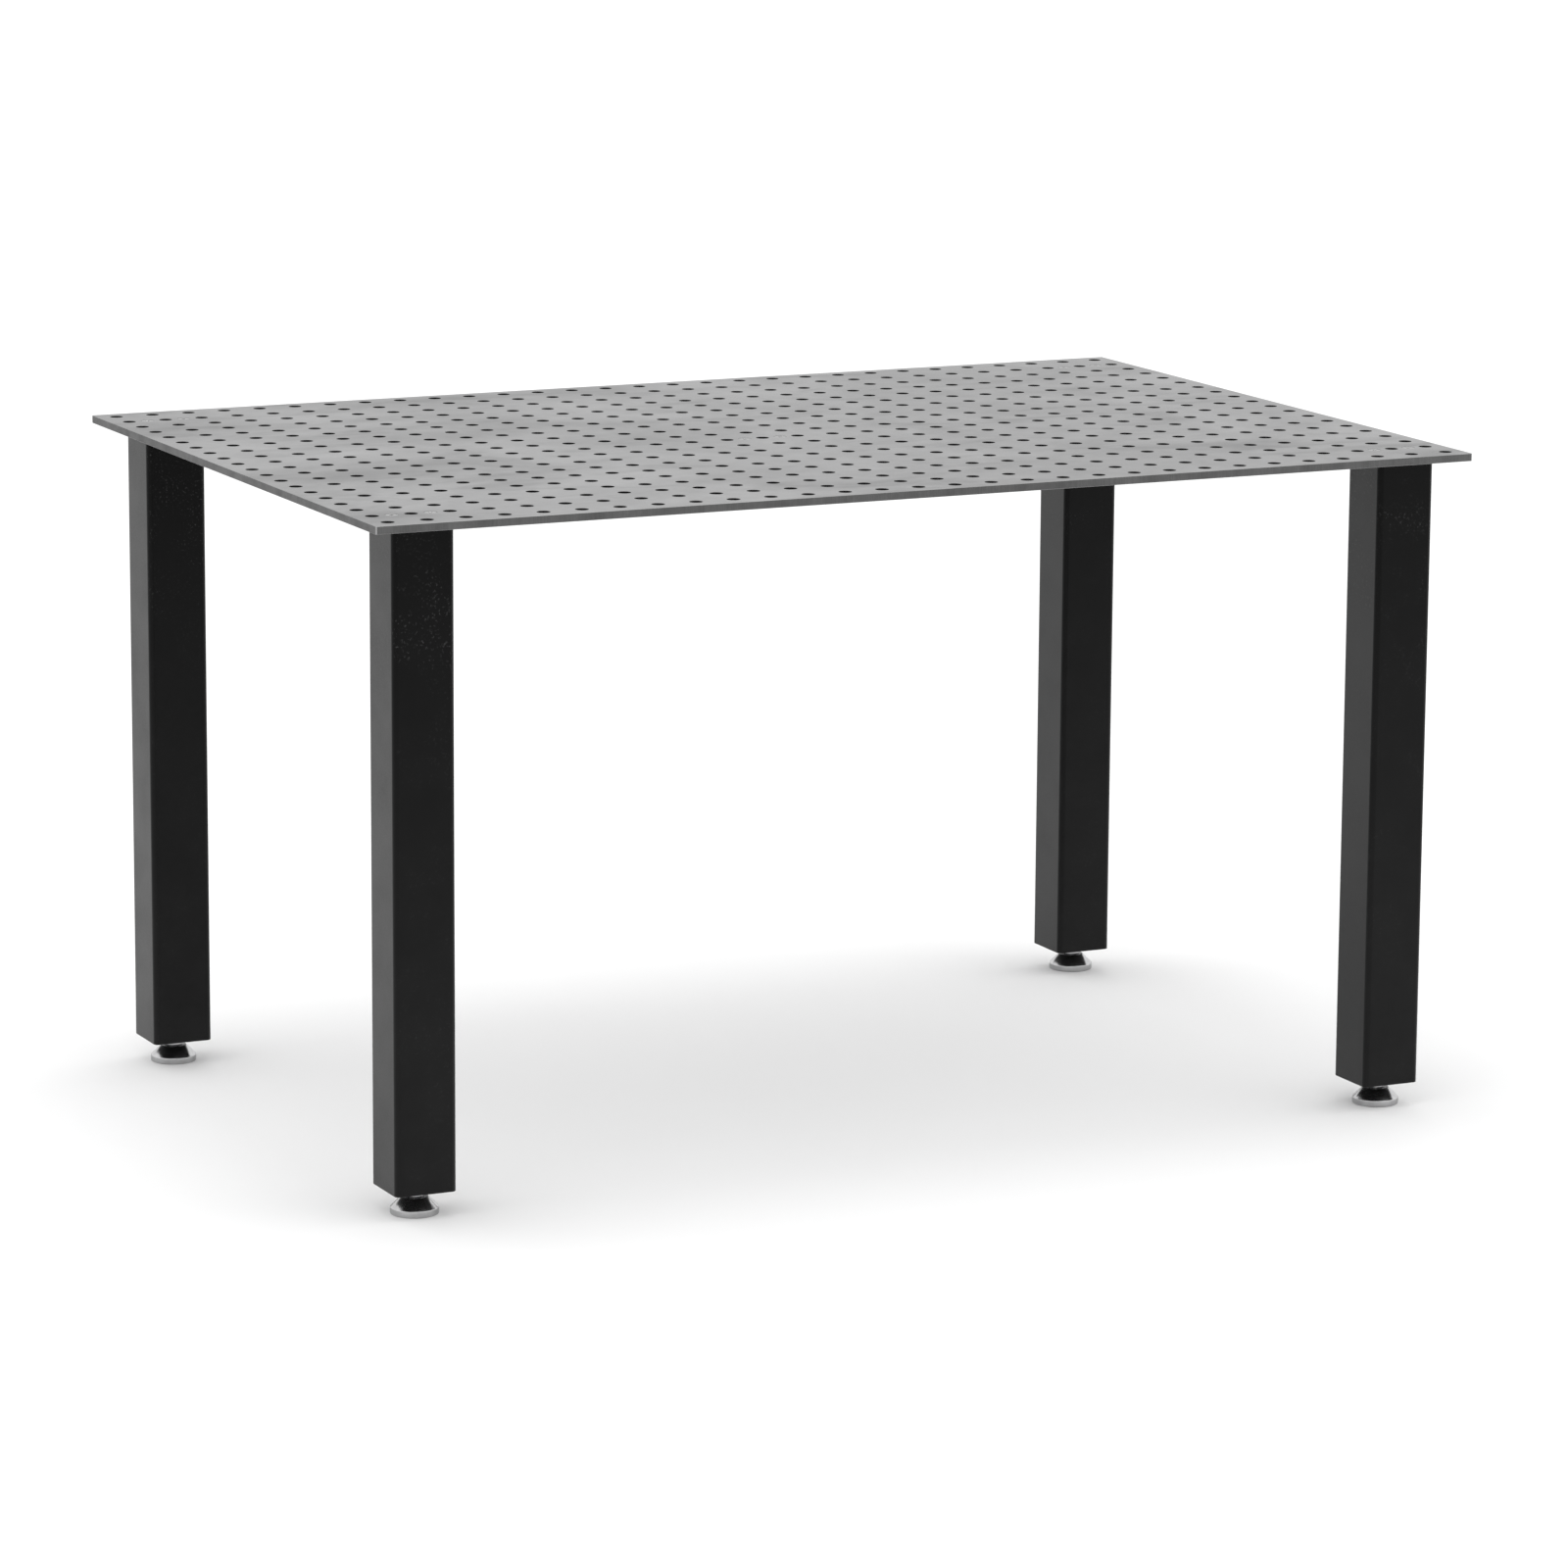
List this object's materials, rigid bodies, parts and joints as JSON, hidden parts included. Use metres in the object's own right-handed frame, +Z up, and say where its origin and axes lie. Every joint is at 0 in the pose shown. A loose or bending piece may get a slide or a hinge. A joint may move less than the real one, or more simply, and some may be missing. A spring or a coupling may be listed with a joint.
{
  "type": "welding table",
  "caption": "Welding table: a thick steel plate with a square grid of fixture holes on square tube legs with screw-adjusted levelling feet.",
  "frame": {"origin": "on the floor under the middle of the work plate, with the feet standing on the floor", "axes": "+X along the plate's long side, +Y towards the rear, +Z up"},
  "size_m": [1.5, 1, 0.86],
  "materials": {
    "work_plate_steel": "bare rolled steel, dull grey with faint smudges",
    "black_powder_coat": "satin black powder coat",
    "screw_steel": "zinc plated",
    "polished_steel": "turned and polished steel"
  },
  "bodies": {
    "table": {"table_top": "work_plate_steel", "centre_plate": "black_powder_coat", "centre_screws": "screw_steel", "front_left_leg_tube": "black_powder_coat", "front_left_top_plate": "black_powder_coat", "front_left_screws": "screw_steel", "front_left_base_plate": "black_powder_coat", "front_left_spindle_nut": "black_powder_coat", "front_right_leg_tube": "black_powder_coat", "front_right_top_plate": "black_powder_coat", "front_right_screws": "screw_steel", "front_right_base_plate": "black_powder_coat", "front_right_spindle_nut": "black_powder_coat", "rear_left_leg_tube": "black_powder_coat", "rear_left_top_plate": "black_powder_coat", "rear_left_screws": "screw_steel", "rear_left_base_plate": "black_powder_coat", "rear_left_spindle_nut": "black_powder_coat", "rear_right_leg_tube": "black_powder_coat", "rear_right_top_plate": "black_powder_coat", "rear_right_screws": "screw_steel", "rear_right_base_plate": "black_powder_coat", "rear_right_spindle_nut": "black_powder_coat"},
    "front_left_foot_body": {"front_left_foot": "polished_steel", "front_left_retaining_ring": "polished_steel"},
    "front_left_spindle_body": {"front_left_spindle": "polished_steel"},
    "front_right_foot_body": {"front_right_foot": "polished_steel", "front_right_retaining_ring": "polished_steel"},
    "front_right_spindle_body": {"front_right_spindle": "polished_steel"},
    "rear_left_foot_body": {"rear_left_foot": "polished_steel", "rear_left_retaining_ring": "polished_steel"},
    "rear_left_spindle_body": {"rear_left_spindle": "polished_steel"},
    "rear_right_foot_body": {"rear_right_foot": "polished_steel", "rear_right_retaining_ring": "polished_steel"},
    "rear_right_spindle_body": {"rear_right_spindle": "polished_steel"}
  },
  "joints": [
    {"name": "front_left_foot_height", "type": "slide", "parent": "table", "child": "front_left_foot_body", "axis": [0, 0, 1], "range_m": [-0.04, 0.001]},
    {"name": "front_left_spindle_turn", "type": "hinge", "parent": "front_left_foot_body", "child": "front_left_spindle_body", "pos_m": [-0.675, -0.425, 0.026], "axis": [0, 0, 1], "range_deg": [-7200, 180]},
    {"name": "front_right_foot_height", "type": "slide", "parent": "table", "child": "front_right_foot_body", "axis": [0, 0, 1], "range_m": [-0.04, 0.001]},
    {"name": "front_right_spindle_turn", "type": "hinge", "parent": "front_right_foot_body", "child": "front_right_spindle_body", "pos_m": [0.675, -0.425, 0.026], "axis": [0, 0, 1], "range_deg": [-7200, 180]},
    {"name": "rear_left_foot_height", "type": "slide", "parent": "table", "child": "rear_left_foot_body", "axis": [0, 0, 1], "range_m": [-0.04, 0.001]},
    {"name": "rear_left_spindle_turn", "type": "hinge", "parent": "rear_left_foot_body", "child": "rear_left_spindle_body", "pos_m": [-0.675, 0.425, 0.026], "axis": [0, 0, 1], "range_deg": [-7200, 180]},
    {"name": "rear_right_foot_height", "type": "slide", "parent": "table", "child": "rear_right_foot_body", "axis": [0, 0, 1], "range_m": [-0.04, 0.001]},
    {"name": "rear_right_spindle_turn", "type": "hinge", "parent": "rear_right_foot_body", "child": "rear_right_spindle_body", "pos_m": [0.675, 0.425, 0.026], "axis": [0, 0, 1], "range_deg": [-7200, 180]}
  ],
  "couplings": [
    {"joint": "front_left_spindle_turn", "follows": "front_left_foot_height", "rad_per_m": 3141.6},
    {"joint": "front_right_spindle_turn", "follows": "front_right_foot_height", "rad_per_m": 3141.6},
    {"joint": "rear_left_spindle_turn", "follows": "rear_left_foot_height", "rad_per_m": 3141.6},
    {"joint": "rear_right_spindle_turn", "follows": "rear_right_foot_height", "rad_per_m": 3141.6}
  ]
}
